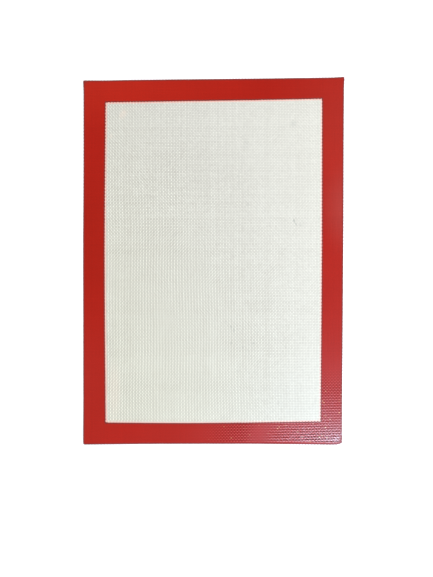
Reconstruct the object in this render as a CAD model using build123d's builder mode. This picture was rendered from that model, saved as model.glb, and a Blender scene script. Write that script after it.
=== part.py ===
from build123d import *
import os

# A silicone baking mat, laid flat. A woven glass cloth has a coat of translucent
# silicone on each face. A red silicone border is printed on both faces, and a bead of
# the same red silicone seals the cut edge all the way round.
#
# Millimetres. X runs across the mat, Y along it, and Z up from the tray. The origin is
# at the middle of the mat, on the tray.

# the finished mat, outside of its bead
mat_width = 298.0
mat_length = 420.0

# the layers
cloth_thickness = 0.30
coat_thickness = 0.18
print_thickness = 0.07

# the bead: the silicone outside the cut cloth, and how far it laps in over the cloth
bead_cover = 0.5
bead_lap = 0.6
bead_round_share = 0.4

# the corner of a coat, which the cloth and the bead follow further out
coat_corner_radius = 0.6

# the printed border, measured in from the outside of the bead
border_width = 24.0
window_corner_radius = 1.0
# the print sits off centre, so that its far band is wider and its near band narrower
window_shift = 0.6

# heights of the layers, from the tray up
bottom_coat_base = print_thickness
cloth_base = bottom_coat_base + coat_thickness
top_coat_base = cloth_base + cloth_thickness
top_print_base = top_coat_base + coat_thickness
mat_thickness = top_print_base + print_thickness

# outlines, from the outside in
cloth_width = mat_width - 2 * bead_cover
cloth_length = mat_length - 2 * bead_cover
coat_width = cloth_width - 2 * bead_lap
coat_length = cloth_length - 2 * bead_lap
cloth_corner_radius = coat_corner_radius + bead_lap
mat_corner_radius = cloth_corner_radius + bead_cover
window_width = mat_width - 2 * border_width
window_length = mat_length - 2 * border_width

# the rounding of the bead's two outer rims is a share of its height
bead_round = bead_round_share * mat_thickness

os.makedirs("parts", exist_ok=True)


# the woven core, cut a little smaller than the mat
with BuildPart() as glass_cloth:
    with BuildSketch(Plane.XY.offset(cloth_base)):
        RectangleRounded(cloth_width, cloth_length, cloth_corner_radius)
    extrude(amount=cloth_thickness)
glass_cloth.part.label = "glass_cloth"
export_step(glass_cloth.part, "parts/glass_cloth.step")


def make_coat(label, base):
    """A silicone coat on one face of the cloth, which ends against the bead."""
    with BuildPart() as coat:
        with BuildSketch(Plane.XY.offset(base)):
            RectangleRounded(coat_width, coat_length, coat_corner_radius)
        extrude(amount=coat_thickness)
    coat.part.label = label
    export_step(coat.part, f"parts/{label}.step")


def make_border(label, base):
    """A printed border on one coat: the coat's outline, with the baking window left open."""
    with BuildPart() as border:
        with BuildSketch(Plane.XY.offset(base)):
            RectangleRounded(coat_width, coat_length, coat_corner_radius)
            with Locations((0, -window_shift)):
                RectangleRounded(
                    window_width, window_length, window_corner_radius, mode=Mode.SUBTRACT
                )
        extrude(amount=print_thickness)
    border.part.label = label
    export_step(border.part, f"parts/{label}.step")


make_coat("bottom_coat", bottom_coat_base)
make_coat("top_coat", top_coat_base)
make_border("bottom_border", 0)
make_border("top_border", top_print_base)


# the bead: a ring round the whole stack, with a groove that holds the cloth's edge
with BuildPart() as edge_bead:
    with BuildSketch():
        RectangleRounded(mat_width, mat_length, mat_corner_radius)
    extrude(amount=mat_thickness)
    rims = edge_bead.edges().group_by(Axis.Z)
    fillet(rims[0] + rims[-1], bead_round)
    with BuildSketch():
        RectangleRounded(coat_width, coat_length, coat_corner_radius)
    extrude(amount=mat_thickness, mode=Mode.SUBTRACT)
    with BuildSketch(Plane.XY.offset(cloth_base)):
        RectangleRounded(cloth_width, cloth_length, cloth_corner_radius)
    extrude(amount=cloth_thickness, mode=Mode.SUBTRACT)
edge_bead.part.label = "edge_bead"
export_step(edge_bead.part, "parts/edge_bead.step")
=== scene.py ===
"""A silicone baking mat that lies on a pale worktop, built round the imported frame.

The mat is a bonded laminate. A plain-woven glass cloth lies between two coats of pale
silicone, a red silicone border is printed on each coat, and a red bead seals the cut
edge. All lengths are in metres, with X across the mat, Y along it and Z up.
"""

import logging
import math
from dataclasses import dataclass
from enum import Enum
from typing import Any

import bpy
import numpy as np
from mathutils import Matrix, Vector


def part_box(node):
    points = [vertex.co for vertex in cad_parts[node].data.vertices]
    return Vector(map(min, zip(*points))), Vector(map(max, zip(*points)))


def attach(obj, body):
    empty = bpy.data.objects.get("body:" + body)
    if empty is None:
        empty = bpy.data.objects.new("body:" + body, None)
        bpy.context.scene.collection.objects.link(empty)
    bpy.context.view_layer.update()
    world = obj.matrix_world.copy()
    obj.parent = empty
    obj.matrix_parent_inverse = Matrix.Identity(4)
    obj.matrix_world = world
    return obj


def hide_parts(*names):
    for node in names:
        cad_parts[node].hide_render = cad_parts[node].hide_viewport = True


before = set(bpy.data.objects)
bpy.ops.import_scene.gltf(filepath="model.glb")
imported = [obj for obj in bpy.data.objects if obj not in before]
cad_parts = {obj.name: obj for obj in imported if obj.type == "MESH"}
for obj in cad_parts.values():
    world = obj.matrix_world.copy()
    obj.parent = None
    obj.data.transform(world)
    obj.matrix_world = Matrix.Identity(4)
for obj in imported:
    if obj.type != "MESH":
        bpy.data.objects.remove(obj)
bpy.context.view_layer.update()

LOG = logging.getLogger("baking_mat")
MM = 0.001
BODY = "root"
YARNS = "yarn_place"
PRINT_DEPTH = "print_depth"
EDGE_DEPTH = "edge_depth"

# a length that counts as nothing, and the middle of a share or a noise from 0 to 1
TINY = 1e-9
MIDDLE = 0.5

Array = np.ndarray
Pair = tuple[float, float]
Triple = tuple[float, float, float]
Colour = Triple
Socket = bpy.types.NodeSocket
WHITE: Colour = (1.0, 1.0, 1.0)


class Face(Enum):
    """The two faces of the mat, each with the direction in which it looks."""

    UPPER = 1
    LOWER = -1


# ---------------------------------------------------------------------------- shapes


@dataclass(frozen=True)
class Layer:
    """One flat layer of the laminate, as the frame has it."""

    half_width: float
    half_length: float
    low: float
    high: float

    @classmethod
    def of(cls, node: str) -> "Layer":
        """The layer that a node of the frame fills."""
        low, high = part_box(node)
        return cls((high.x - low.x) / 2, (high.y - low.y) / 2, low.z, high.z)

    def outer(self, face: Face) -> float:
        """The height of the side that looks out of the mat."""
        return self.high if face is Face.UPPER else self.low

    def flat_size(self) -> Pair:
        """The width and length that the layer is cut to."""
        return 2 * self.half_width, 2 * self.half_length


@dataclass(frozen=True)
class Weave:
    """The plain weave of the glass cloth, which every layer follows.

    A place on the cloth is counted in yarns: u across the warp and v along it, from the
    mat's middle. Whole numbers are the middles of yarns, so a crossing has two whole
    numbers and a hole between the yarns has two halves.
    """

    warp_pitch: float
    weft_pitch: float
    half_yarn: float = 0.43
    crimp: float = 1.0
    drift: float = 0.18 * MM
    drift_waves: tuple[Triple, ...] = (
        (31.0, 12.0, 0.4), (-14.0, 47.0, 1.9), (63.0, -22.0, 4.1))

    @classmethod
    def of(cls, cloth: Layer, warp_yarns: int = 169, weft_yarns: int = 225) -> "Weave":
        """The weave of a cloth that has these numbers of yarns.

        Args:
            cloth: the cloth's layer.
            warp_yarns: yarns that run along the mat.
            weft_yarns: yarns that run across it.

        Returns:
            The weave, with its two pitches.
        """
        width, length = cloth.flat_size()
        return cls(width / warp_yarns, length / weft_yarns)

    def _strayed(self, x: Array, y: Array) -> tuple[Array, Array]:
        """How far the yarns have strayed from even spacing, a sum of slow sine waves."""
        across = sum(np.sin(a * x + b * y + c) for a, b, c in self.drift_waves)
        along = sum(np.sin(a * y - b * x + 2 * c) for a, b, c in self.drift_waves)
        return self.drift * across, self.drift * along

    def yarns_at(self, x: Array, y: Array) -> tuple[Array, Array]:
        """The place in yarns: the place less the straying, over the pitch."""
        dx, dy = self._strayed(x, y)
        return (x - dx) / self.warp_pitch, (y - dy) / self.weft_pitch

    def place_of(self, u: Array, v: Array, rounds: int = 6) -> tuple[Array, Array]:
        """The place of a crossing or hole, found by feeding the straying back in.

        Args:
            u, v: places in yarns.
            rounds: how often the straying is worked out again.

        Returns:
            x and y in metres.
        """
        x, y = u * self.warp_pitch, v * self.weft_pitch
        for _ in range(rounds):
            dx, dy = self._strayed(x, y)
            x, y = u * self.warp_pitch + dx, v * self.weft_pitch + dy
        return x, y

    def relief(self, u: Array, v: Array) -> Array:
        """Height of the weave, from 0 in a hole to 1 on a crossing.

        A yarn is a parabola across its width, on a cosine that carries it over one
        crossing and under the next. The higher of the two yarns shows, and the silicone
        that fills the holes is the lowest level.
        """
        i, j = np.round(u), np.round(v)
        warp = self.crimp * np.cos(np.pi * i) * np.cos(np.pi * v) + 1
        weft = -self.crimp * np.cos(np.pi * j) * np.cos(np.pi * u) + 1
        warp = warp - ((u - i) / self.half_yarn) ** 2
        weft = weft - ((v - j) / self.half_yarn) ** 2
        return np.maximum(np.maximum(warp, weft), 0) / (1 + self.crimp)


@dataclass(frozen=True)
class Shift:
    """A small sideways move of the mat round one place, which fades as a bell.

    The place is given in shares of the half width and of the half length.
    """

    side: float
    end: float
    to_x: float
    to_y: float
    reach: float


@dataclass(frozen=True)
class Lie:
    """How the mat lies: a little out of square, in long shallow waves, its corners up.

    Its long sides bulge, the right margin is eased out, the near side is bowed in, and a
    few shifts follow the places where the mat was cut or pushed unevenly. Each wave has
    its height, its two frequencies in radians a metre and its phase, and each corner its
    side, its end and its lift.
    """

    half_width: float
    half_length: float
    skew: float = 0.00451
    side_bulge: float = 0.42 * MM
    right_ease: float = 0.40 * MM
    right_power: int = 8
    near_bow: float = 0.45 * MM
    waves: tuple[tuple[float, float, float, float], ...] = (
        (0.10 * MM, 27.0, 9.0, 0.6), (0.12 * MM, -11.0, 24.0, 2.3),
        (0.05 * MM, 52.0, -38.0, 5.0))
    corner_lifts: tuple[Triple, ...] = (
        (-1, -1, 1.0 * MM), (1, -1, 1.5 * MM), (-1, 1, 0.7 * MM), (1, 1, 0.5 * MM))
    corner_reach: float = 45 * MM
    shifts: tuple[Shift, ...] = (
        Shift(1, -1, -0.2 * MM, 1.55 * MM, 3.8 * MM),
        Shift(1, 1, 0.5 * MM, 0.6 * MM, 8 * MM),
        Shift(-1, 1, -0.6 * MM, 0.0, 8 * MM),
        Shift(-0.87, 1, 0.0, -0.5 * MM, 25 * MM),
        Shift(1, 0.72, -0.15 * MM, 0.0, 75 * MM),
        Shift(-1, 0.04, -0.25 * MM, 0.0, 60 * MM),
        Shift(0.55, -1, 0.0, -0.15 * MM, 24 * MM),
        Shift(0.86, -1, 0.0, -0.15 * MM, 24 * MM))

    def lift(self, x: Array, y: Array) -> Array:
        """Height over the worktop: a squared sine for each wave, a bell at each corner."""
        height = np.zeros_like(x)
        for size, a, b, c in self.waves:
            height += size * np.sin(a * x + b * y + c) ** 2
        for side, end, size in self.corner_lifts:
            away = np.hypot(x - side * self.half_width, y - end * self.half_length)
            height += size * np.exp(-(away / self.corner_reach) ** 2)
        return height

    def lay(self, x: Array, y: Array, z: Array) -> Array:
        """Takes places on the flat mat to where they lie.

        The bulge and the bow are parabolas along their sides, the ease is a high power
        of the place across, and each shift is a bell round its place.

        Args:
            x, y, z: places on the mat as it is cut, in metres.

        Returns:
            One row of three for each place.
        """
        across, along = x / self.half_width, y / self.half_length
        height = z + self.lift(x, y)
        x = x + self.side_bulge * across * (1 - along ** 2)
        x = x + self.right_ease * np.clip(across, 0, 1) ** self.right_power
        y = y + self.near_bow * (1 - across ** 2) * np.clip(-along, 0, 1) ** 2
        for shift in self.shifts:
            away = np.hypot(x - shift.side * self.half_width, y - shift.end * self.half_length)
            share = np.exp(-(away / shift.reach) ** 2)
            x, y = x + shift.to_x * share, y + shift.to_y * share
        return np.stack([x + self.skew * y, y + self.skew * x, height], axis=1)


@dataclass(frozen=True)
class Side:
    """One side of an outline: its distance from the middle, which drifts and bows.

    Along the side, which runs from -1 to 1, the distance is at + slope t + bow t².
    """

    at: float
    slope: float = 0.0
    bow: float = 0.0

    def line(self, t: Array) -> Array:
        """The side's distance from the middle at places along it."""
        return self.at + self.slope * t + self.bow * t ** 2


@dataclass(frozen=True)
class Outline:
    """A closed line with four sides and rounded corners, scalloped where yarns end."""

    left: Side
    right: Side
    near: Side
    far: Side
    corner: float
    half_width: float
    half_length: float
    weave: Weave
    scallop: float = 0.0
    corner_reach: float = 1.0 * MM

    def _sides(self, x: Array, y: Array) -> tuple[Array, ...]:
        """The nearest sides across and along, and how far past a corner's start a place is.

        Args:
            x, y: the places.

        Returns:
            The sign and place of the side across, those of the side along, and the two
            distances outward from the middle of the corner's round.
        """
        t, s = y / self.half_length, x / self.half_width
        u, v = self.weave.yarns_at(x, y)
        bite_x, bite_y = self.scallop * np.cos(np.pi * v), self.scallop * np.cos(np.pi * u)
        right, left = self.right.line(t) + bite_x, self.left.line(t) + bite_x
        far, near = self.far.line(s) + bite_y, self.near.line(s) + bite_y
        to_right, to_far = x > (right - left) / 2, y > (far - near) / 2
        side, width = np.where(to_right, 1.0, -1.0), np.where(to_right, right, left)
        end, length = np.where(to_far, 1.0, -1.0), np.where(to_far, far, near)
        qx, qy = self.corner - (width - side * x), self.corner - (length - end * y)
        return side, width, end, length, qx, qy

    def depth(self, x: Array, y: Array) -> Array:
        """Distance inside the line, below zero outside it.

        It is the distance to the nearest side, or near a corner the corner's radius less
        the distance from the middle of its round.
        """
        *_, qx, qy = self._sides(x, y)
        out = np.hypot(np.maximum(qx, 0), np.maximum(qy, 0))
        return self.corner - (out + np.minimum(np.maximum(qx, qy), 0))

    def snap(self, x: Array, y: Array) -> tuple[Array, Array]:
        """The nearest place on the line: straight out to a side, or round a corner.

        A place inside that is within a short reach of two sides goes to the corner, so
        that a grid which is cut to the line keeps the corner.
        """
        side, width, end, length, qx, qy = self._sides(x, y)
        radius = self.corner
        inner = (np.maximum(qx, qy) < radius) & (np.minimum(qx, qy) > -self.corner_reach)
        qx, qy = np.where(inner, radius, qx), np.where(inner, radius, qy)
        reach = np.maximum(np.hypot(qx, qy), TINY)
        at_corner, by_side = (qx > 0) & (qy > 0), qx >= qy
        new_qx = np.where(at_corner, qx * radius / reach, np.where(by_side, radius, qx))
        new_qy = np.where(at_corner, qy * radius / reach, np.where(by_side, qy, radius))
        return side * (width - radius + new_qx), end * (length - radius + new_qy)


@dataclass(frozen=True)
class Frame:
    """The part of a sheet between its outer line and a window."""

    outer: Outline
    window: Outline

    def depth(self, x: Array, y: Array) -> Array:
        """Distance inside the outer line and outside the window, whichever is less."""
        return np.minimum(self.outer.depth(x, y), -self.window.depth(x, y))

    def snap(self, x: Array, y: Array) -> tuple[Array, Array]:
        """The nearest place on whichever of the two lines is crossed."""
        in_window = self.window.depth(x, y) > 0
        wx, wy = self.window.snap(x, y)
        ox, oy = self.outer.snap(x, y)
        return np.where(in_window, wx, ox), np.where(in_window, wy, oy)


@dataclass
class Patch:
    """A sheet of triangles in the flat: x and y of its points, and rows of corners."""

    x: Array
    y: Array
    triangles: Array

    def rim(self) -> Array:
        """The directed edges that only one triangle has."""
        ends = np.roll(self.triangles, -1, axis=1)
        edges = np.stack([self.triangles, ends], axis=-1).reshape(-1, 2)
        key = edges.min(axis=1) * len(self.x) + edges.max(axis=1)
        _, first, count = np.unique(key, return_index=True, return_counts=True)
        return edges[first[count == 1]]

    def loop(self) -> tuple[Array, Array]:
        """The points of the rim in their order round the mat, and the angle of each."""
        points = np.unique(self.rim())
        turn = np.arctan2(self.y[points] / np.ptp(self.y), self.x[points] / np.ptp(self.x))
        order = np.argsort(turn)
        return points[order], turn[order]


def trimmed(x: Array, y: Array, region: Outline | Frame, crossed: bool) -> Patch:
    """A grid of squares cut to a region.

    A square stays where any of its corners is in the region, and its corners outside
    move to the nearest place on the region's line. Each square becomes two triangles,
    joined where a corner has moved, or four that meet in its middle.

    Args:
        x, y: places of the grid's points, as tables of rows and columns.
        region: what the grid is cut to.
        crossed: whether a square has a point in its middle.

    Returns:
        The patch, with no doubled points and no empty triangles.
    """
    rows, columns = x.shape
    inside = region.depth(x, y) > 0
    touched = inside[:-1, :-1] | inside[1:, :-1] | inside[:-1, 1:] | inside[1:, 1:]
    sx, sy = region.snap(x, y)
    x, y = np.where(inside, x, sx).ravel(), np.where(inside, y, sy).ravel()
    index = np.arange(rows * columns).reshape(rows, columns)
    squares = (index[:-1, :-1], index[:-1, 1:], index[1:, 1:], index[1:, :-1])
    a, b, c, d = (part[touched] for part in squares)
    if crossed:
        middle = rows * columns + np.arange(len(a))
        corners = np.stack([a, b, c, d])
        x, y = np.append(x, x[corners].mean(axis=0)), np.append(y, y[corners].mean(axis=0))
        sides = ((a, b), (b, c), (c, d), (d, a))
        triangles = np.concatenate([np.stack([p, q, middle], axis=1) for p, q in sides])
    else:
        turned = ~(inside.ravel()[b] & inside.ravel()[d])
        a, b, c, d = (np.where(turned, q, p) for p, q in ((a, b), (b, c), (c, d), (d, a)))
        triangles = np.concatenate([np.stack([a, b, c], axis=1), np.stack([a, c, d], axis=1)])
    grain = 0.001 * MM
    key = np.round(np.stack([x, y], axis=1) / grain).astype(np.int64)
    _, first, merged = np.unique(key, axis=0, return_index=True, return_inverse=True)
    triangles = merged.ravel()[triangles]
    x, y = x[first], y[first]
    ax, bx, cx = (x[triangles[:, k]] for k in range(3))
    ay, by, cy = (y[triangles[:, k]] for k in range(3))
    area = (bx - ax) * (cy - ay) - (cx - ax) * (by - ay)
    triangles = triangles[area > grain * grain]
    used, triangles = np.unique(triangles, return_inverse=True)
    return Patch(x[used], y[used], triangles.reshape(-1, 3))


def yarn_grid(weave: Weave, layer: Layer, per_yarn: int) -> tuple[Array, Array]:
    """A grid in step with the yarns that covers a layer.

    Args:
        weave: the weave whose yarns the grid follows.
        layer: the layer to cover.
        per_yarn: grid steps from one yarn to the next.

    Returns:
        Tables of x and y.
    """
    spare = 2
    columns = math.ceil(layer.half_width / weave.warp_pitch) + spare
    rows = math.ceil(layer.half_length / weave.weft_pitch) + spare
    u, v = np.meshgrid(np.arange(-columns * per_yarn, columns * per_yarn + 1) / per_yarn,
                       np.arange(-rows * per_yarn, rows * per_yarn + 1) / per_yarn)
    return weave.place_of(u, v)


def plain_grid(layer: Layer, step: float) -> tuple[Array, Array]:
    """Tables of x and y of an even grid that covers a layer, with about the given step."""
    columns, rows = (round(size / step) + 1 for size in layer.flat_size())
    x, y = np.meshgrid(np.linspace(-layer.half_width, layer.half_width, columns),
                       np.linspace(-layer.half_length, layer.half_length, rows))
    return x, y


def ribbon(upper: tuple[Array, Array], lower: tuple[Array, Array]) -> Array:
    """Triangles that join two closed loops with different numbers of points.

    The angles of both loops are put in one order. Each step goes on along the loop whose
    angle is next, and its triangle ends on the other loop's last point.

    Args:
        upper, lower: the points and angles of each loop.

    Returns:
        Rows of three points, which face away from the middle.
    """
    (p, a), (q, b) = upper, lower
    steps = np.concatenate([a[1:], a[:1] + 2 * np.pi, b[1:], b[:1] + 2 * np.pi])
    on_upper = (np.arange(len(steps)) < len(p))[np.argsort(steps, kind="stable")]
    i = np.cumsum(on_upper) - on_upper
    j = np.cumsum(~on_upper) - ~on_upper
    third = np.where(on_upper, p[(i + 1) % len(p)], q[(j + 1) % len(q)])
    return np.stack([p[i % len(p)], q[j % len(q)], third], axis=1)


def placed(name: str, data: bpy.types.ID, place: Triple = (0.0, 0.0, 0.0),
           turn: Triple = (0.0, 0.0, 0.0)) -> bpy.types.Object:
    """Adds an object to the scene.

    Args:
        name: the object's name.
        data: its mesh, lamp or camera.
        place: where its origin is.
        turn: its turns about x, y and z in degrees.

    Returns:
        The object.
    """
    made = bpy.data.objects.new(name, data)
    made.location = place
    made.rotation_euler = [math.radians(angle) for angle in turn]
    bpy.context.scene.collection.objects.link(made)
    return made


@dataclass
class Body:
    """A closed mesh in the making, with what its finish reads at each point."""

    places: Array
    triangles: Array
    yarns: Array
    print_depth: Array
    edge_depth: Array

    def piece(self, name: str, finish: bpy.types.Material, stands_for: str, slot: str,
              crease: float = 40.0) -> bpy.types.Object:
        """Makes the object, dresses it and ties it to the frame.

        Args:
            name: the piece's name.
            finish: its material.
            stands_for: the frame's node that it replaces.
            slot: not used.
            crease: the angle in degrees past which an edge is sharp.

        Returns:
            The object, at the origin.
        """
        mesh = bpy.data.meshes.new(name)
        mesh.from_pydata(self.places.tolist(), [], self.triangles.tolist())
        yarns = np.column_stack([self.yarns, np.zeros(len(self.yarns))])
        held = mesh.attributes.new(YARNS, "FLOAT_VECTOR", "POINT")
        held.data.foreach_set("vector", yarns.ravel())
        for key, depth in ((PRINT_DEPTH, self.print_depth), (EDGE_DEPTH, self.edge_depth)):
            mesh.attributes.new(key, "FLOAT", "POINT").data.foreach_set("value", depth)
        mesh.shade_smooth()
        mesh.set_sharp_from_angle(angle=math.radians(crease))
        mesh.materials.append(finish)
        piece = placed(name, mesh)
        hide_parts(stands_for)
        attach(piece, BODY)
        LOG.info("%s: %d points, %d triangles", name, len(self.places), len(self.triangles))
        return piece


@dataclass(frozen=True)
class Laminate:
    """What all the layers share: the weave, how the mat lies, and the printed window."""

    weave: Weave
    lie: Lie
    window: Outline

    def even_outline(self, layer: Layer, corner: float) -> Outline:
        """The line round a layer, with straight sides and round corners."""
        width, length = layer.half_width, layer.half_length
        side, end = Side(width), Side(length)
        return Outline(side, side, end, end, corner, width, length, self.weave)

    def body(self, x: Array, y: Array, z: Array, triangles: Array) -> Body:
        """Lays flat points on the worktop and notes what the finishes read at them.

        Args:
            x, y, z: the points on the mat as it is cut.
            triangles: rows of three points.

        Returns:
            The body, with each point's place in yarns, its distance outside the window,
            and its distance in from the mat's edge.
        """
        yarns = np.column_stack(self.weave.yarns_at(x, y))
        to_edge = np.minimum(self.lie.half_width - np.abs(x), self.lie.half_length - np.abs(y))
        return Body(self.lie.lay(x, y, z), triangles, yarns, -self.window.depth(x, y), to_edge)

    def relief_at(self, x: Array, y: Array) -> Array:
        """The weave's relief at places on the flat mat."""
        return self.weave.relief(*self.weave.yarns_at(x, y))

    def slab(self, patch: Patch, low: Array, high: Array) -> Body:
        """A closed body with one patch above and below.

        Args:
            patch: the flat sheet.
            low, high: the two heights at each of its points.

        Returns:
            The body, with a wall along every edge of the patch.
        """
        count = len(patch.x)
        a, b = patch.rim().T
        walls = np.concatenate([np.stack([a, a + count, b + count], axis=1),
                                np.stack([a, b + count, b], axis=1)])
        triangles = np.concatenate([patch.triangles, patch.triangles[:, ::-1] + count, walls])
        return self.body(np.tile(patch.x, 2), np.tile(patch.y, 2), np.append(high, low),
                         triangles)

    def closed(self, front: Patch, front_z: Array, back: Patch, back_z: Array,
               face: Face) -> Body:
        """A closed body with a fine patch on the side that shows and a coarse one behind.

        Args:
            front, back: the two flat sheets, cut to one outline.
            front_z, back_z: their heights.
            face: the face of the mat that the front looks out of.

        Returns:
            The body, whose wall is a ribbon between the rims of the two.
        """
        points, turn = back.loop()
        count = len(front.x)
        wall = ribbon(front.loop(), (points + count, turn))
        triangles = np.concatenate([front.triangles, back.triangles[:, ::-1] + count, wall])
        if face is Face.LOWER:
            triangles = triangles[:, ::-1]
        return self.body(np.append(front.x, back.x), np.append(front.y, back.y),
                         np.append(front_z, back_z), triangles)


# --------------------------------------------------------------------------- finishes


class Graph:
    """A node tree in the making, with short calls for the nodes that finishes use."""

    def __init__(self, tree: bpy.types.NodeTree) -> None:
        """Starts with the tree that the nodes go into."""
        self.tree = tree

    def node(self, kind: str, inputs: dict[Any, Any] | None = None,
             **settings: Any) -> bpy.types.Node:
        """Adds a node.

        Args:
            kind: its type, without the leading ShaderNode.
            inputs: sockets or values by the input's name or number.
            settings: the node's own settings.

        Returns:
            The node.
        """
        made = self.tree.nodes.new("ShaderNode" + kind)
        for key, value in settings.items():
            setattr(made, key, value)
        for key, value in (inputs or {}).items():
            self.put(value, made.inputs[key])
        return made

    def put(self, value: Any, socket: Socket) -> None:
        """Links a socket, or sets a value, a colour being given an alpha of 1."""
        if isinstance(value, bpy.types.NodeSocket):
            self.tree.links.new(value, socket)
        elif socket.type == "RGBA" and len(value) == 3:
            socket.default_value = (*value, 1.0)
        else:
            socket.default_value = value

    def math(self, operation: str, *values: Any) -> Socket:
        """The result of a Math node."""
        return self.node("Math", dict(enumerate(values)), operation=operation).outputs[0]

    def times(self, first: Any, second: Any, more: Any = 0.0) -> Socket:
        """The product of two values, with a third added."""
        return self.math("MULTIPLY_ADD", first, second, more)

    def less(self, first: Any, second: Any) -> Socket:
        """The first value less the second."""
        return self.math("SUBTRACT", first, second)

    def ramp(self, value: Any, start: Any, end: Any, low: Any = 0.0, high: Any = 1.0) -> Socket:
        """A value taken smoothly from low at start to high at end, and held past both."""
        return self.node("MapRange", {0: value, 1: start, 2: end, 3: low, 4: high},
                         interpolation_type="SMOOTHSTEP").outputs[0]

    def mix(self, factor: Any, first: Any, second: Any, blend: str = "MIX") -> Socket:
        """Two colours mixed."""
        mixed = self.node("Mix", {0: factor, 6: first, 7: second}, data_type="RGBA",
                          blend_type=blend)
        return mixed.outputs[2]

    def between(self, factor: Any, first: Any, second: Any) -> Socket:
        """A value between two others, with the factor held from 0 to 1."""
        return self.node("Mix", {0: factor, 2: first, 3: second}, data_type="FLOAT").outputs[0]

    def noise(self, place: Any, scale: Any, detail: float, bend: float = 0.0) -> Socket:
        """Soft noise from 0 to 1 with about this many lumps a metre."""
        return self.node("TexNoise", {"Vector": place, "Scale": scale, "Detail": detail,
                                      "Distortion": bend}).outputs[0]

    def vector(self, operation: str, *values: Any, output: str = "Vector") -> Socket:
        """The result of a Vector Math node."""
        made = self.node("VectorMath", dict(enumerate(values)), operation=operation)
        return made.outputs[output]

    def along(self, place: Any, way: Triple) -> Socket:
        """How far a place is along a direction, the dot product of the two."""
        return self.vector("DOT_PRODUCT", place, way, output="Value")

    def attribute(self, name: str, output: str = "Fac") -> Socket:
        """What the piece's mesh holds under a name."""
        return self.node("Attribute", attribute_name=name).outputs[output]

    def place(self) -> Socket:
        """The place on the object, in metres."""
        return self.node("TexCoord").outputs["Object"]

    def feed(self, node: bpy.types.Node, **inputs: Any) -> bpy.types.Node:
        """Feeds a node's inputs, whose names have _ for a space."""
        for key, value in inputs.items():
            self.put(value, node.inputs[key.replace("_", " ")])
        return node


def new_group(name: str, inputs: dict[str, Any],
              outputs: tuple[str, ...]) -> tuple[Graph, Any, Any]:
    """Starts a shader node group.

    Args:
        name: the group's name.
        inputs: the default of each input, None for a vector.
        outputs: names of its outputs, all plain values.

    Returns:
        The graph, the group's input sockets and its output node.
    """
    tree = bpy.data.node_groups.new(name, "ShaderNodeTree")
    for key, value in inputs.items():
        kind = "NodeSocketVector" if value is None else "NodeSocketFloat"
        made = tree.interface.new_socket(name=key, in_out="INPUT", socket_type=kind)
        if value is not None:
            made.default_value = value
    for key in outputs:
        tree.interface.new_socket(name=key, in_out="OUTPUT", socket_type="NodeSocketFloat")
    graph = Graph(tree)
    source, target = tree.nodes.new("NodeGroupInput"), tree.nodes.new("NodeGroupOutput")
    return graph, source.outputs, target


def weave_group(weave: Weave, softness: float = 0.5,
                tone_seeds: Pair = (0.5, 1000.5)) -> bpy.types.NodeTree:
    """The plain weave as a shader group: the same formula as Weave.relief, made softer.

    Args:
        weave: the weave whose shape the group takes.
        softness: how far the yarns melt into each other, where a finish doesn't say.
        tone_seeds: where the tones of the warp and of the weft are drawn from.

    Returns:
        The group. Height runs from 0 in a hole to 1 on a crossing. The two gaps run from 0
        on a yarn's middle to 1 between two yarns. Turn is 1 on a crossing with the warp on
        top and -1 with the weft on top, Lean is 1 and -1 in the holes by turns, Tone
        differs from yarn to yarn, and Grain from crossing to crossing, both about 0.
    """
    g, given, out = new_group(
        "Plain weave", {"Yarns": None, "Softness": softness},
        ("Height", "Warp Gap", "Weft Gap", "Turn", "Lean", "Tone", "Grain"))
    parts = g.node("SeparateXYZ", {0: given["Yarns"]}).outputs

    def swing(value: Any, operation: str = "COSINE") -> Socket:
        """The cosine, or the sine, of half a turn for each yarn."""
        return g.math(operation, g.times(value, math.pi))

    whole = [g.math("ROUND", part) for part in parts[:2]]
    levels = []
    for yarn, other, sign in ((0, 1, weave.crimp), (1, 0, -weave.crimp)):
        off = g.math("DIVIDE", g.less(parts[yarn], whole[yarn]), weave.half_yarn)
        crown = g.less(1.0, g.times(off, off))
        carried = g.times(swing(whole[yarn]), swing(parts[other]))
        levels.append(g.math("ADD", g.times(carried, sign), crown))
    top = g.math("SMOOTH_MAX", *levels, given["Softness"])
    filled = g.math("SMOOTH_MAX", top, 0.0, given["Softness"])
    gaps = [g.times(g.math("COSINE", g.times(part, 2 * math.pi)), -MIDDLE, MIDDLE)
            for part in parts[:2]]
    turn, lean = (g.times(*(swing(part, operation) for part in parts[:2]))
                  for operation in ("COSINE", "SINE"))
    warp_tone, weft_tone = (
        g.node("TexWhiteNoise", {"W": g.math("ADD", part, seed)},
               noise_dimensions="1D").outputs["Value"]
        for part, seed in zip(whole, tone_seeds))
    tone = g.between(g.math("GREATER_THAN", *levels), weft_tone, warp_tone)
    cell = g.node("CombineXYZ", {0: whole[0], 1: whole[1]}).outputs[0]
    grain = g.node("TexWhiteNoise", {"Vector": cell}, noise_dimensions="2D").outputs["Value"]
    g.feed(out, Height=g.math("DIVIDE", filled, 1 + weave.crimp), Warp_Gap=gaps[0],
           Weft_Gap=gaps[1], Turn=turn, Lean=lean, Tone=g.less(tone, MIDDLE),
           Grain=g.less(grain, MIDDLE))
    return g.tree


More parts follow.
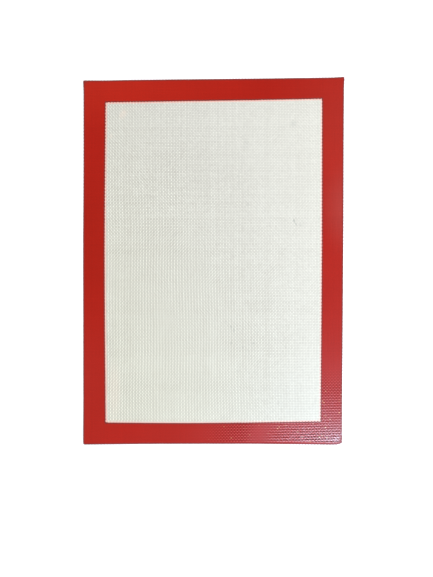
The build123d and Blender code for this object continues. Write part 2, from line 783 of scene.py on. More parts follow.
def wear_group(cloud_scale: float = 12.0, smear_scale: float = 30.0,
               details: Pair = (3.0, 4.0), smear_bend: float = 0.2,
               smear_ends: Pair = (0.40, 0.80)) -> bpy.types.NodeTree:
    """Handling marks as a shader group.

    Args:
        cloud_scale, smear_scale: lumps a metre, where a finish doesn't say.
        details: the finer levels in the clouds and in the smears.
        smear_bend: how far the smears are bent.
        smear_ends: the noise at which a smear starts, and at which it is full.

    Returns:
        The group. Clouds is slow unevenness about 0, and Grease is 1 in a few smears.
    """
    g, given, out = new_group(
        "Handling", {"Place": None, "Cloud Scale": cloud_scale, "Smear Scale": smear_scale},
        ("Clouds", "Grease"))
    clouds = g.noise(given["Place"], given["Cloud Scale"], details[0])
    smears = g.noise(given["Place"], given["Smear Scale"], details[1], smear_bend)
    g.feed(out, Clouds=g.less(clouds, MIDDLE), Grease=g.ramp(smears, *smear_ends))
    return g.tree


@dataclass(frozen=True)
class Groups:
    """The shader groups that the finishes share."""

    weave: bpy.types.NodeTree
    wear: bpy.types.NodeTree


def near(g: Graph, place: Pair, reach: Pair) -> Socket:
    """1 at a place, and less out to an oval round it, where it is 0."""
    share = g.vector("DIVIDE", g.vector("SUBTRACT", g.place(), (*place, 0.0)), (*reach, 1.0))
    return g.ramp(g.vector("LENGTH", share, output="Value"), 0.0, 1.0, 1.0, 0.0)


@dataclass(frozen=True)
class Mark:
    """An oval on the mat: where, how long and wide, its strength, its turn in degrees.

    It is a fibre or a stain, or a patch in which something shows more or less.
    """

    x: float
    y: float
    length: float
    width: float
    strength: float
    turn: float = 0.0


def marks(*rows: tuple[float, ...]) -> tuple[Mark, ...]:
    """Marks from rows of their numbers, whose first four are in mm."""
    return tuple(Mark(*(size * MM for size in row[:4]), *row[4:]) for row in rows)


def patches(g: Graph, ovals: tuple[Mark, ...], level: Any) -> Socket:
    """A level with each mark's strength added in an oval that fades from its middle."""
    for oval in ovals:
        share = near(g, (oval.x, oval.y), (oval.length, oval.width))
        level = g.times(share, oval.strength, level)
    return level


@dataclass(frozen=True)
class Finish:
    """What the finishes share: they follow the weave, and show that the mat was handled.

    Softness is how far the yarns melt into each other. The two scales are the lumps a
    metre in the clouds and in the smears of handling.
    """

    name: str
    softness: float
    scales: Pair
    relief_depth: float
    roughness: float

    def begin(self, groups: Groups) -> tuple[Graph, Any, Any]:
        """Starts the material.

        Args:
            groups: the shared shader groups.

        Returns:
            The graph, and what the weave and the handling marks give.
        """
        made = bpy.data.materials.new(self.name)
        made.use_nodes = True
        g = Graph(made.node_tree)
        weave = g.feed(g.node("Group", node_tree=groups.weave),
                       Yarns=g.attribute(YARNS, "Vector"), Softness=self.softness)
        wear = g.feed(g.node("Group", node_tree=groups.wear), Place=g.place(),
                      Cloud_Scale=self.scales[0], Smear_Scale=self.scales[1])
        return g, weave.outputs, wear.outputs

    def end(self, g: Graph, height: Socket, **inputs: Any) -> bpy.types.Material:
        """Finishes the material.

        Args:
            g: the material's graph.
            height: the weave's height, whose relief gives the normal.
            inputs: what the shader's other inputs take, their names with _ for a space.

        Returns:
            The material.
        """
        level = g.times(height, self.relief_depth)
        bump = g.node("Bump", {"Height": level, "Distance": 1.0, "Strength": 1.0})
        g.feed(g.tree.nodes["Principled BSDF"], Normal=bump.outputs[0], **inputs)
        return bpy.data.materials[self.name]


@dataclass(frozen=True)
class PaleSilicone(Finish):
    """Translucent white silicone over glass cloth, whose weave shows through it.

    The weave's tone is partly the cloth showing through and partly painted shade and
    sheen of its relief: the yarn on top of a crossing and the leaning holes are painted
    sheen. A pair of shades or contrasts is taken from one end to the other of a
    direction over the mat, and paints how the light falls across the relief. The row
    shares are added to the three pairs of shades round one place, as the window's
    painted sheen on the rows by the near right corner.
    """

    name: str = "pale silicone over cloth"
    softness: float = 0.5
    scales: Pair = (9.0, 22.0)
    crossing: Colour = (0.625, 0.590, 0.507)
    hole: Colour = (0.583, 0.552, 0.471)
    # a painted red glow inside the window's rim: the print's red light in the silicone
    painted_red_glows: tuple[Colour, Colour] = ((0.82, 0.46, 0.39), (0.86, 0.42, 0.34))
    painted_glow_widths: Pair = (2.2 * MM, 2.6 * MM)
    painted_glow_share: float = 0.93
    painted_glow_way: Triple = (-0.9, 0.45, 0.0)
    painted_glow_ends: Pair = (-60 * MM, 60 * MM)
    warp_gap_shades: Pair = (0.20, 0.73)
    weft_gap_shades: Pair = (0.18, 0.04)
    turn_shades: Pair = (0.11, 0.32)
    shade_way: Triple = (-0.8, -0.5, 0.0)
    shade_ends: Pair = (-0.12, 0.16)
    row_place: Pair = (125 * MM, -186 * MM)
    row_reach: Pair = (130 * MM, 160 * MM)
    row_shares: Triple = (-0.15, 0.22, -0.22)
    lean_shade: float = 0.40
    lean_scale: float = 22.0
    lean_detail: float = 1.0
    leans: tuple[Mark, ...] = marks((-105, 140, 75, 85, -0.115))
    yarn_shade: float = 0.10
    grain_shade: float = 0.125
    speck_ends: Pair = (0.30, 0.50)
    speck_shade: float = -0.20
    channel_shares: Colour = (0.94, 1.04, 1.12)
    side_ends: Pair = (-60 * MM, 100 * MM)
    side_contrasts: Pair = (0.84, 0.62)
    length_ends: Pair = (-180 * MM, 180 * MM)
    near_contrast: float = 0.07
    contrasts: tuple[Mark, ...] = marks(
        (0, -40, 140, 210, 0.29), (-95, 135, 60, 70, -0.08), (-65, 50, 60, 115, 0.18),
        (-105, -60, 60, 190, 0.12), (52, -95, 60, 55, 0.28), (-28, 122, 50, 40, 0.14),
        (32, 45, 55, 50, -0.14))
    # patches painted darker, one lighter, for the light and shade of the mat's shallow waves
    painted_shade_patches: tuple[Mark, ...] = marks(
        (15, -60, 135, 260, -0.038), (72, -160, 58, 62, -0.045), (-30, 115, 85, 65, -0.026),
        (-32, -168, 50, 45, 0.026), (58, -100, 55, 50, -0.028), (28, 85, 60, 55, -0.022),
        (56, -45, 30, 34, -0.030), (108, 105, 48, 52, -0.020), (-72, 25, 45, 110, -0.020))
    cloud_shade: float = 0.03
    # a painted tint of the light: less blue towards the near left, bluer to the right
    painted_tint_ends: Pair = (-0.10, 0.20)
    painted_tint_shades: Pair = (0.018, -0.050)
    relief_depth: float = 0.10 * MM
    roughness: float = 0.36
    grease_roughness: float = -0.04
    mark_core: float = 0.2
    fibre: Colour = (0.17, 0.17, 0.15)
    stain: Colour = (0.80, 0.64, 0.52)
    fibres: tuple[Mark, ...] = marks(
        (93.4, 47.6, 3.4, 1.4, 0.46, -72.0), (95.6, 43.6, 3.0, 1.2, 0.34, -55.0),
        (100.4, 42.8, 3.5, 1.7, 0.16, -10.0), (14.9, -68.2, 2.0, 1.4, 0.20),
        (21.2, -74.4, 2.8, 1.5, 0.42, -63.0), (24.4, -78.3, 3.0, 1.4, 0.34, -75.0),
        (21.3, -92.9, 2.4, 1.6, 0.38, 50.0), (27.0, -86.5, 3.6, 1.1, 0.15, -80.0),
        (34.6, -97.8, 2.4, 1.4, 0.30, 80.0), (46.6, -93.0, 3.0, 1.6, 0.32),
        (92.7, 158.9, 6.5, 4.5, 0.14, 30.0), (38.5, 135.7, 9.0, 4.5, 0.07, 90.0),
        (11.9, -179.0, 3.5, 2.6, 0.12), (28.1, -125.3, 4.5, 3.0, 0.09, 20.0),
        (8.4, -126.5, 4.0, 3.0, 0.09, -30.0), (40.8, 66.4, 4.5, 3.2, 0.08, 60.0),
        (-43.5, 31.7, 4.0, 3.0, 0.08), (-49.3, 114.9, 4.0, 3.0, 0.08, 45.0))
    stains: tuple[Mark, ...] = marks(
        (-102.5, 170.5, 9.0, 6.0, 0.30, 60.0), (-101.5, 172.5, 2.4, 1.6, 0.20, 20.0),
        (-105.5, 168.5, 2.4, 1.5, 0.15, 80.0), (-117.0, 145.0, 4.5, 3.0, 0.20, 70.0),
        (-113.5, -148.0, 44.0, 10.0, 0.24, 90.0))

    def _marks(self, g: Graph, ovals: tuple[Mark, ...]) -> Socket:
        """How much of each mark a place has: full in its middle, nothing past its ends."""
        total: Any = 0.0
        for oval in ovals:
            turned = g.node("Mapping", {
                "Vector": g.place(), "Location": (oval.x, oval.y, 0),
                "Rotation": (0, 0, math.radians(oval.turn)),
                "Scale": (oval.length, oval.width, 1.0)}, vector_type="TEXTURE")
            away = g.vector("LENGTH", turned.outputs[0], output="Value")
            total = g.math("ADD", total, g.ramp(away, self.mark_core, 1.0, oval.strength, 0.0))
        return total

    def _tone(self, g: Graph, weave: Any, grease: Socket, along: Socket) -> Socket:
        """How much lighter or darker than 1 the weave makes the colour.

        Args:
            g: the material's graph.
            weave: what the weave's group gives.
            grease: the smears of handling, in which the specks lie.
            along: the place along the direction in which the shades change.

        Returns:
            The sum of the gaps, the yarn on top and the leaning holes as painted sheen, the
            differences from yarn to yarn and from crossing to crossing, and the specks.
        """
        tone = g.times(weave["Tone"], self.yarn_shade, 1.0)
        rows = near(g, self.row_place, self.row_reach)
        swings = (g.less(MIDDLE, weave["Warp Gap"]), g.less(MIDDLE, weave["Weft Gap"]),
                  weave["Turn"])
        shades = (self.warp_gap_shades, self.weft_gap_shades, self.turn_shades)
        for swing, ends, more in zip(swings, shades, self.row_shares):
            share = g.times(rows, more, g.ramp(along, *self.shade_ends, *ends))
            tone = g.times(swing, g.math("MAXIMUM", share, 0.0), tone)
        uneven = g.less(g.noise(g.place(), self.lean_scale, self.lean_detail), MIDDLE)
        leaning = patches(g, self.leans, g.times(uneven, self.lean_shade))
        tone = g.times(weave["Lean"], leaning, tone)
        tone = g.times(weave["Grain"], self.grain_shade, tone)
        specks = g.times(g.ramp(weave["Grain"], *self.speck_ends), grease)
        return g.times(specks, self.speck_shade, tone)

    def _contrast(self, g: Graph) -> Socket:
        """How strongly the weave shows: less towards the far right, and by patches."""
        # painted shade: the weave's relief shows more or less as the light falls over the mat
        x, y, _ = g.node("SeparateXYZ", {0: g.place()}).outputs
        aside = g.math("ADD", g.ramp(x, *self.side_ends, *self.side_contrasts),
                       g.ramp(y, *self.length_ends, self.near_contrast, 0.0))
        return patches(g, self.contrasts, aside)

    def material(self, groups: Groups) -> bpy.types.Material:
        """Makes the material, from the cloth outward.

        The colour of a hole or crossing is multiplied by the weave's tone, with its
        contrast, the clouds, the painted shade patches and a painted tint of the light,
        and then takes a painted red glow from the print, the stains and the fibres.

        Args:
            groups: the shared shader groups.

        Returns:
            The material.
        """
        g, weave, wear = self.begin(groups)
        along = g.along(g.place(), self.shade_way)
        tone = self._tone(g, weave, wear["Grease"], along)
        off = g.times(g.less(tone, 1.0), self._contrast(g))
        # painted shade patches, darker and lighter by the light over the mat's waves
        off = patches(g, self.painted_shade_patches, g.times(wear["Clouds"], self.cloud_shade, off))
        red, green, blue = (g.times(off, share, 1.0) for share in self.channel_shares)
        # the painted tint of the light, bluer towards the right where the cool lamps fall
        blue = g.math("ADD", blue, g.ramp(along, *self.painted_tint_ends, *self.painted_tint_shades))
        shade = g.node("CombineColor", {0: red, 1: green, 2: blue}).outputs[0]
        colour = g.mix(weave["Height"], self.hole, self.crossing)
        colour = g.mix(1.0, colour, shade, "MULTIPLY")
        # the painted red glow: a lighter pink inside the window's rim
        way = g.along(g.place(), self.painted_glow_way)
        reach = g.ramp(way, *self.painted_glow_ends, *(-width for width in self.painted_glow_widths))
        painted_glow = g.ramp(g.attribute(PRINT_DEPTH), reach, 0.0, 0.0, self.painted_glow_share)
        colour = g.mix(painted_glow, colour, g.mix(g.ramp(way, *self.painted_glow_ends), *self.painted_red_glows))
        colour = g.mix(self._marks(g, self.stains), colour, self.stain)
        colour = g.mix(self._marks(g, self.fibres), colour, self.fibre)
        rough = g.times(wear["Grease"], self.grease_roughness, self.roughness)
        return self.end(g, weave["Height"], Base_Color=colour, Roughness=rough)


@dataclass(frozen=True)
class Wash:
    """A slow change of the red: its colour at a place, and none past an oval round it."""

    colour: Colour
    place: Pair
    reach: Pair


def wash(colour: Colour, *sizes: float) -> Wash:
    """A wash from its colour, and its place and reach in mm."""
    x, y, reach_x, reach_y = (size * MM for size in sizes)
    return Wash(colour, (x, y), (reach_x, reach_y))


@dataclass(frozen=True)
class RedSilicone(Finish):
    """Red silicone as it is printed on the coats and run round the edge.

    Washes change its colour slowly; some are painted sheen and one is painted shade.
    Round the near right corner, where the window is reflected, its gloss follows the
    yarns, and its tone follows them too as painted glints, less or more by the calm
    marks, with a few bright painted sparks and a painted sheen. A hem without glints
    runs along the near edge, and the rims are darker by painted shade, the print's rim
    by its thicker ink too.
    """

    softness: float = 0.7
    scales: Pair = (14.0, 35.0)
    body: Colour = (0.404, 0.0110, 0.0046)
    washes: tuple[Wash, ...] = (
        wash((0.463, 0.0164, 0.0064), -150, 211, 260, 78),
        wash((0.370, 0.0114, 0.0044), -150, 25, 90, 150),
        wash((0.395, 0.0156, 0.0084), -150, -130, 60, 115),
        # the next two are painted sheen on the right margin
        wash((0.404, 0.0190, 0.0108), 150, 150, 100, 150),
        wash((0.408, 0.0385, 0.0290), 155, 62, 40, 62),
        # painted shade at the far left corner
        wash((0.17, 0.030, 0.024), -150, 211, 11, 11))
    # the near right corner, where the window is reflected: its paler red is painted sheen
    glint_zone: Wash = wash((0.405, 0.014, 0.012), 150, -211, 190, 107)
    # a pale pink painted sheen of the window's reflection at the near right corner
    painted_corner_sheen: Wash = wash((0.352, 0.042, 0.043), 150, -211, 55, 45)
    # the rims darker by painted shade of their rounded edges, the print's rim by thicker ink
    # too
    rim: Colour = (0.165, 0.029, 0.025)
    rim_ends: Pair = (1.9 * MM / 2, 1.9 * MM)
    rim_share: float = 0.85
    # painted sparks: bright glints painted on a few crowns round the corner
    spark: Colour = (0.95, 0.52, 0.26)
    spark_ends: Pair = (0.476, 0.492)
    spark_share: float = 0.65
    # the holes darker by painted shade
    hole_shade: float = 0.06
    # how far painted glints lighten the crowns and painted shade darkens between them
    painted_glint_shade: float = 1.05
    painted_glint_middle: float = 0.38
    glint_zone_full: float = 0.35
    row_dip: float = 0.85
    turn_full: float = 0.6
    turn_shares: Pair = (0.6, 0.16)
    crown_ends: Pair = (0.5, 1.0)
    glint_ends: Pair = (0.25, 0.85)
    glint_shares: Pair = (0.62, 1.0)
    calm_gloss: float = 0.20
    calms: tuple[Mark, ...] = marks(
        (55, -200, 22, 40, -0.8), (140, -128, 45, 44, -0.65), (30, -200, 35, 30, -0.20),
        (112, -203, 62, 22, 0.90))
    hem_place: Pair = (112 * MM, -210 * MM)
    hem_reach: Pair = (190 * MM, 18 * MM)
    hem_ends: Pair = (2.6 * MM, 3.4 * MM)
    hem_gloss: float = 0.08
    # the red is darker towards the right: painted shade that evens out the panel lamp
    side_ends: Pair = (-0.15, 0.15)
    side_shade: float = 0.13
    # the edge darker by painted shade of its rounded edge
    edge_ends: Pair = (2.9 * MM / 3, 2.9 * MM)
    edge_share: float = 0.5
    cloud_shade: float = 0.18
    yarn_shade: float = 0.05
    relief_depth: float = 0.11 * MM
    roughness: float = 0.32
    grease_roughness: float = 0.03
    gloss_roughness: float = 0.277
    gloss_ior: float = 2.5
    specular: float = 0.06

    def _follows(self, g: Graph, glint_zone: Socket, hem: Socket) -> Socket:
        """How far gloss and painted glints follow the yarns, save in the hem."""
        full = g.times(g.ramp(glint_zone, 0.0, self.glint_zone_full), patches(g, self.calms, 1.0))
        return g.times(full, g.less(1.0, hem))

    def _crown(self, g: Graph, weave: Any, glint_zone: Socket) -> Socket:
        """1 on the crowns of the rows of weft yarns, and 0 between them."""
        row = g.times(weave["Weft Gap"], -self.row_dip, 1.0)
        turned = g.ramp(glint_zone, 0.0, self.turn_full, *self.turn_shares)
        return g.ramp(g.times(weave["Turn"], turned, row), *self.crown_ends)

    def material(self, groups: Groups) -> bpy.types.Material:
        """Makes the material.

        The washed colour is multiplied by the tone of the holes and of the right side,
        both painted shade, the clouds, the yarns and the painted glints round one corner,
        and then takes the painted sparks and the two rims darkened by painted shade.

        Args:
            groups: the shared shader groups.

        Returns:
            The material.
        """
        g, weave, wear = self.begin(groups)
        across = g.node("SeparateXYZ", {0: g.place()}).outputs[0]
        # the corner where the window is reflected, in which the painted glints lie
        glint_zone = near(g, self.glint_zone.place, self.glint_zone.reach)
        hem = g.times(near(g, self.hem_place, self.hem_reach),
                      g.ramp(g.attribute(EDGE_DEPTH), *self.hem_ends, 1.0, 0.0))
        follows = self._follows(g, glint_zone, hem)
        crown = self._crown(g, weave, glint_zone)
        glint = g.times(crown, g.ramp(glint_zone, *self.glint_ends, *self.glint_shares))
        # painted shade: the red darker to the right against the panel lamp, and in the holes
        even = g.ramp(across, *self.side_ends, 1.0, 1 - self.side_shade)
        tone = g.times(weave["Height"], self.hole_shade, g.less(even, self.hole_shade))
        tone = g.times(wear["Clouds"], self.cloud_shade, tone)
        tone = g.times(weave["Tone"], self.yarn_shade, tone)
        # the tone follows the crowns: painted glints on them, painted shade between rows
        shown = g.times(g.less(crown, self.painted_glint_middle), self.painted_glint_shade)
        tone = g.times(shown, follows, tone)
        colour: Any = self.body
        # the washes, some painted sheen and one painted shade, then the corner's painted sheen
        for change in (*self.washes, self.glint_zone, self.painted_corner_sheen):
            colour = g.mix(near(g, change.place, change.reach), colour, change.colour)
        shade = g.node("CombineColor", {0: tone, 1: tone, 2: tone}).outputs[0]
        colour = g.mix(1.0, colour, shade, "MULTIPLY")
        # painted sparks on a few crowns
        sparks = g.times(g.ramp(weave["Grain"], *self.spark_ends, 0.0, self.spark_share), glint)
        colour = g.mix(g.times(sparks, follows), colour, self.spark)
        # both rims darker by painted shade, the print's rim by thicker ink too
        for depth, ends, share in ((EDGE_DEPTH, self.edge_ends, self.edge_share),
                                   (PRINT_DEPTH, self.rim_ends, self.rim_share)):
            at_rim = g.ramp(g.attribute(depth), *ends, share, 0.0)
            colour = g.mix(at_rim, colour, self.rim)
        gloss = g.between(hem, g.between(follows, self.calm_gloss, glint), self.hem_gloss)
        return self.end(
            g, weave["Height"], Base_Color=colour, Coat_Weight=gloss,
            Coat_Roughness=self.gloss_roughness, Coat_IOR=self.gloss_ior,
            Specular_IOR_Level=self.specular,
            Roughness=g.times(wear["Grease"], self.grease_roughness, self.roughness))


PRINTED_RED = RedSilicone("printed red silicone")
# the bead's red is darker, partly thicker silicone, partly painted shade of its round
SEALING_RED = RedSilicone("sealing red silicone", body=(0.29, 0.044, 0.035), washes=(),
                          rim_share=0.0)


@dataclass(frozen=True)
class GlassYarn(Finish):
    """Bare woven glass, off-white with a dry sheen."""

    name: str = "woven glass"
    softness: float = 0.2
    scales: Pair = (20.0, 40.0)
    relief_depth: float = 0.12 * MM
    roughness: float = 0.6
    yarn: Colour = (0.74, 0.75, 0.70)
    gap: Colour = (0.45, 0.46, 0.42)
    yarn_shade: float = 0.15
    cloud_roughness: float = 0.1

    def material(self, groups: Groups) -> bpy.types.Material:
        """Makes the material, whose gaps are darker and whose yarns vary."""
        g, weave, wear = self.begin(groups)
        tone = g.times(weave["Tone"], self.yarn_shade, weave["Height"])
        rough = g.times(wear["Clouds"], self.cloud_roughness, self.roughness)
        return self.end(g, weave["Height"], Base_Color=g.mix(tone, self.gap, self.yarn),
                        Roughness=rough)


# ----------------------------------------------------------------------- sub-assemblies


@dataclass
class GlassCloth:
    """The woven core, a thin slab that lies between the coats."""

    laminate: Laminate
    layer: Layer
    corner: float = 1.2 * MM
    step: float = 5 * MM

    def build(self, finish: bpy.types.Material) -> bpy.types.Object:
        outline = self.laminate.even_outline(self.layer, self.corner)
        patch = trimmed(*plain_grid(self.layer, self.step), outline, crossed=False)
        level = np.ones_like(patch.x)
        body = self.laminate.slab(patch, self.layer.low * level, self.layer.high * level)
        cloth = body.piece("woven_cloth", finish, "glass_cloth", "woven_glass")
        self.layer.flat_size()
        return cloth


@dataclass
class Coat:
    """A coat of pale silicone on one face, which takes the relief of the cloth."""

    laminate: Laminate
    layer: Layer
    face: Face
    corner: float = 0.6 * MM
    relief_depth: float = 0.10 * MM
    back_step: float = 6 * MM

    def surface(self, x: Array, y: Array) -> Array:
        """Height of the outer side: a crossing reaches the layer's face, a hole dips."""
        dip = self.relief_depth * (1 - self.laminate.relief_at(x, y))
        return self.layer.outer(self.face) - self.face.value * dip

    def outline(self) -> Outline:
        """The line that the coat ends on, against the bead."""
        return self.laminate.even_outline(self.layer, self.corner)

    def build(self, finish: bpy.types.Material) -> bpy.types.Object:
        """Makes the coat: a point on each crossing and in each hole, and a plain back."""
        grid = yarn_grid(self.laminate.weave, self.layer, 1)
        front = trimmed(*grid, self.outline(), crossed=True)
        back = trimmed(*plain_grid(self.layer, self.back_step), self.outline(), crossed=False)
        inner = self.layer.low if self.face is Face.UPPER else self.layer.high
        body = self.laminate.closed(front, self.surface(front.x, front.y), back,
                                    np.full_like(back.x, inner), self.face)
        name, node = {Face.UPPER: ("upper_coat", "top_coat"),
                      Face.LOWER: ("lower_coat", "bottom_coat")}[self.face]
        return body.piece(name, finish, node, "clear_silicone")


@dataclass
class PrintedBorder:
    """The red border on one coat, thinner at its window and softly following the weave."""

    layer: Layer
    coat: Coat
    relief_depth: float = 0.045 * MM
    rim_width: float = 0.9 * MM
    rim_thickness_share: float = 0.45
    edge_fade: float = 1.5 * MM
    bed: float = 0.01 * MM

    def build(self, finish: bpy.types.Material) -> bpy.types.Object:
        """Makes the border on a grid of two steps a yarn, cut to the window."""
        face, laminate, outer = self.coat.face, self.coat.laminate, self.coat.outline()
        grid = yarn_grid(laminate.weave, self.layer, 2)
        patch = trimmed(*grid, Frame(outer, laminate.window), crossed=False)
        bed = self.coat.surface(patch.x, patch.y) - face.value * self.bed
        calm = np.clip(outer.depth(patch.x, patch.y) / self.edge_fade, 0, 1)
        dip = self.relief_depth * (1 - laminate.relief_at(patch.x, patch.y)) * calm
        full = self.layer.outer(face) - face.value * dip
        inward = np.clip(-laminate.window.depth(patch.x, patch.y) / self.rim_width, 0, 1)
        share = self.rim_thickness_share
        top = bed + (full - bed) * (share + (1 - share) * np.sin(inward * np.pi / 2))
        low, high = (bed, top) if face is Face.UPPER else (top, bed)
        body = laminate.slab(patch, low, high)
        name, node = {Face.UPPER: ("upper_print", "top_border"),
                      Face.LOWER: ("lower_print", "bottom_border")}[face]
        return body.piece(name, finish, node, "red_silicone")


@dataclass
class EdgeBead:
    """The bead of red silicone that wraps the cut edge and holds the cloth in a groove."""

    laminate: Laminate
    layer: Layer
    cloth: Layer
    coat: Layer
    corner: float = 1.25 * MM
    round_share: float = 0.4
    round_steps: int = 4
    station: float = 0.6 * MM
    corner_steps: int = 9
    scallop: float = 0.28 * MM
    crease: float = 50.0

    def profile(self) -> tuple[Array, Array]:
        """Insets and heights round the section, from the foot outward and up.

        Two quarter rounds make the outer rims. The inner side steps out round the cloth's
        edge and back.

        Returns:
            The inset from the outer line, and the height.
        """
        low, high = self.layer.low, self.layer.high
        radius = self.round_share * (high - low)
        turn = np.linspace(0, np.pi / 2, self.round_steps + 1)
        falling, rising = radius * (1 - np.sin(turn)), radius * (1 - np.cos(turn))
        inner = self.layer.half_width - self.coat.half_width
        groove = self.layer.half_width - self.cloth.half_width
        sole, roof = self.cloth.low, self.cloth.high
        inset = [falling, rising, [inner, inner, groove, groove, inner, inner]]
        height = [low + rising, high - falling, [high, roof, roof, sole, sole, low]]
        return np.concatenate(inset), np.concatenate(height)

    def path(self) -> tuple[Array, Array, Array, Array]:
        """Stations round the outer line, anticlockwise: their places and outward looks.

        A quarter round at each corner, joined by even steps along the sides.

        Returns:
            x, y, and the outward direction's two parts.
        """
        middle = np.array([self.layer.half_width, self.layer.half_length]) - self.corner
        turn = np.linspace(0, np.pi / 2, self.corner_steps)
        places, looks = [], []
        for quarter, (sx, sy) in enumerate(((1, 1), (-1, 1), (-1, -1), (1, -1))):
            angle = turn + quarter * np.pi / 2
            look = np.stack([np.cos(angle), np.sin(angle)], axis=1)
            corner = middle * (sx, sy) + self.corner * look
            places.append(corner)
            looks.append(look)
            length = 2 * middle[1 if quarter % 2 else 0]
            share = np.linspace(0, 1, round(length / self.station) + 1)[1:-1, None]
            along = np.array([-look[-1, 1], look[-1, 0]])
            places.append(corner[-1] + along * share * length)
            looks.append(np.repeat(look[-1:], len(share), axis=0))
        place, look = np.concatenate(places), np.concatenate(looks)
        return place[:, 0], place[:, 1], look[:, 0], look[:, 1]

    def build(self, finish: bpy.types.Material) -> bpy.types.Object:
        """Carries the section along the path. Its outer side is bitten between yarns."""
        x, y, look_x, look_y = self.path()
        inset, height = self.profile()
        u, v = self.laminate.weave.yarns_at(x, y)
        wave = 1 + look_x ** 2 * np.cos(np.pi * v) + look_y ** 2 * np.cos(np.pi * u)
        bite = self.scallop / 2 * wave
        outer_share = 1 - inset / inset.max()
        away = inset[None, :] + bite[:, None] * outer_share[None, :]
        px = x[:, None] - look_x[:, None] * away
        py = y[:, None] - look_y[:, None] * away
        pz = np.broadcast_to(height, px.shape)
        stations, points = px.shape
        index = np.arange(stations * points).reshape(stations, points)
        a, b = index, np.roll(index, -1, axis=1)
        c, d = np.roll(b, -1, axis=0), np.roll(a, -1, axis=0)
        a, b, c, d = (part.ravel() for part in (a, b, c, d))
        triangles = np.concatenate([np.stack([a, d, c], axis=1), np.stack([a, c, b], axis=1)])
        body = self.laminate.body(px.ravel(), py.ravel(), pz.ravel().copy(), triangles)
        return body.piece("sealed_edge", finish, "edge_bead", "red_silicone", self.crease)


# ------------------------------------------------------------------------------ studio


@dataclass(frozen=True)
class Lamp:
    """A flat lamp: its place, its turn from looking straight down, and its size."""

    name: str
    place: Triple
    turn: Triple
    size: Pair
    power: float
    colour: Colour

    def build(self) -> None:
        """Hangs the lamp."""
        lamp = bpy.data.lights.new(self.name, "AREA")
        lamp.shape = "RECTANGLE"
        lamp.size, lamp.size_y = self.size
        lamp.energy, lamp.color = self.power, self.colour
        placed(self.name, lamp, self.place, self.turn)


@dataclass(frozen=True)
class Studio:
    """A pale worktop under a cool window light and a panel, and a soft sky.

    The sky is dimmer overhead, less so towards one side, and is held down in reflections.
    """

    floor_half: float = 3.0
    floor_colour: Colour = (0.80, 0.80, 0.80)
    floor_glow: float = 0.36
    lamps: tuple[Lamp, ...] = (
        Lamp("window", (0.466, -0.726, 1.0), (37, 0, 0), (0.26, 0.16), 10.7,
             (0.62, 0.81, 1.03)),
        Lamp("panel", (0.50, 0.14, 0.33), (0, 55, 0), (0.12, 0.55), 1.60,
             (0.92, 0.96, 1.0)))
    sky_overhead: float = 0.03
    sky_low: float = 1.98
    sky_side: Triple = (0.55, -0.75, 0.0)
    sky_side_ends: Pair = (-0.1, 0.6)
    sky_side_glow: float = 0.5
    sky_up_ends: Pair = (0.35, 0.85)
    sky_mirrored: float = 0.8
    camera_place: Triple = (0.01142, -0.02515, 0.51128)
    camera_turn: Triple = (-0.549, 0.779, -0.033)
    lens: float = 27.70
    sensor: float = 36.0

    def floor(self) -> None:
        """The worktop: lit as it is, and seen a little brighter, so that it stays white."""
        half = self.floor_half
        corners = [(-half, -half, 0), (half, -half, 0), (half, half, 0), (-half, half, 0)]
        mesh = bpy.data.meshes.new("worktop")
        mesh.from_pydata(corners, [], [range(len(corners))])
        made = bpy.data.materials.new("worktop")
        made.use_nodes = True
        g = Graph(made.node_tree)
        g.tree.nodes.clear()
        path = g.node("LightPath").outputs
        seen: Any = 0.0
        for ray in ("Is Camera Ray", "Is Glossy Ray", "Is Transmission Ray"):
            seen = g.math("MAXIMUM", seen, path[ray])
        strength = g.times(seen, self.floor_glow)
        glow = g.node("Emission", {"Color": WHITE, "Strength": strength})
        matt = g.node("BsdfDiffuse", {"Color": self.floor_colour})
        both = g.node("AddShader", {0: glow.outputs[0], 1: matt.outputs[0]})
        g.put(both.outputs[0], g.node("OutputMaterial").inputs["Surface"])
        mesh.materials.append(made)
        floor = placed("worktop", mesh)

    def sky(self) -> None:
        """Light from all round, dim overhead, and no brighter than white where it is seen."""
        world = bpy.data.worlds.new("sky")
        world.use_nodes = True
        bpy.context.scene.world = world
        g = Graph(world.node_tree)
        g.tree.nodes.clear()
        look = g.node("TexCoord").outputs["Generated"]
        up = g.node("SeparateXYZ", {0: look}).outputs[2]
        overhead = g.ramp(g.along(look, self.sky_side), *self.sky_side_ends,
                          self.sky_overhead, self.sky_overhead + self.sky_side_glow)
        level = g.ramp(up, *self.sky_up_ends, self.sky_low, overhead)
        path = g.node("LightPath").outputs
        mirrored = g.math("MINIMUM", level, self.sky_mirrored)
        level = g.between(path["Is Glossy Ray"], level, mirrored)
        level = g.between(path["Is Camera Ray"], level, 1.0)
        back = g.node("Background", {"Color": WHITE, "Strength": level})
        g.put(back.outputs[0], g.node("OutputWorld").inputs["Surface"])

    def camera(self) -> None:
        """The camera above the mat."""
        data = bpy.data.cameras.new("camera")
        data.lens, data.sensor_width, data.sensor_fit = self.lens, self.sensor, "AUTO"
        held = placed("camera", data, self.camera_place, self.camera_turn)
        bpy.context.scene.camera = held
        bpy.context.scene.view_settings.view_transform = "Standard"

    def build(self) -> None:
        """Sets up everything that isn't the mat."""
        self.floor()
        for lamp in self.lamps:
            lamp.build()
        self.sky()
        self.camera()


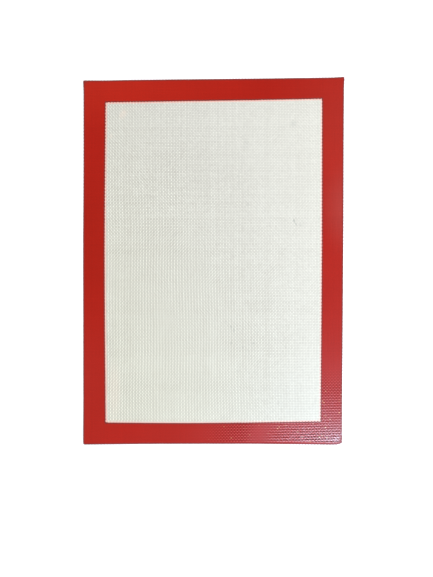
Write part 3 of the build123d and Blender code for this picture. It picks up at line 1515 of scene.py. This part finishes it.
@dataclass(frozen=True)
class PrintedWindow:
    """The window that the print leaves open, with sides as they came off the screen.

    A side has the width of its printed band at its middle, its slope and its bow.
    """

    left: Triple = (25.02 * MM, 0.33 * MM, -1.26 * MM)
    right: Triple = (24.40 * MM, -0.15 * MM, -0.40 * MM)
    near: Triple = (24.65 * MM, -0.75 * MM, -2.22 * MM)
    far: Triple = (25.07 * MM, 0.84 * MM, 0.10 * MM)
    corner: float = 0.35 * MM
    scallop: float = 0.42 * MM

    def outline(self, mat: Layer, weave: Weave) -> Outline:
        """The window's outline.

        Args:
            mat: the whole mat's outside.
            weave: the weave, whose yarns scallop the print's rim.

        Returns:
            The line, each side of which is in from the mat's by its band.
        """
        width, length = mat.half_width, mat.half_length
        bands = ((width, self.left), (width, self.right),
                 (length, self.near), (length, self.far))
        sides = (Side(half - band, slope, bow) for half, (band, slope, bow) in bands)
        return Outline(*sides, self.corner, width, length, weave, self.scallop)


def main() -> None:
    """Builds the mat from its core outward, then the studio."""
    logging.basicConfig(level=logging.INFO, format="%(name)s: %(message)s")
    cloth, bead = Layer.of("glass_cloth"), Layer.of("edge_bead")
    coats = {Face.UPPER: Layer.of("top_coat"), Face.LOWER: Layer.of("bottom_coat")}
    prints = {Face.UPPER: Layer.of("top_border"), Face.LOWER: Layer.of("bottom_border")}
    weave = Weave.of(cloth)
    laminate = Laminate(weave, Lie(bead.half_width, bead.half_length),
                        PrintedWindow().outline(bead, weave))
    groups = Groups(weave_group(weave), wear_group())
    pale = PaleSilicone().material(groups)
    red, seal = PRINTED_RED.material(groups), SEALING_RED.material(groups)

    GlassCloth(laminate, cloth).build(GlassYarn().material(groups))
    films = {face: Coat(laminate, layer, face) for face, layer in coats.items()}
    pieces = {face: film.build(pale) for face, film in films.items()}
    borders = {face: PrintedBorder(prints[face], film).build(red)
               for face, film in films.items()}
    sealed = EdgeBead(laminate, bead, cloth, coats[Face.UPPER]).build(seal)
    for face, piece in pieces.items():
        coats[face].flat_size()
    Studio().build()


if __name__ == "__main__":
    main()
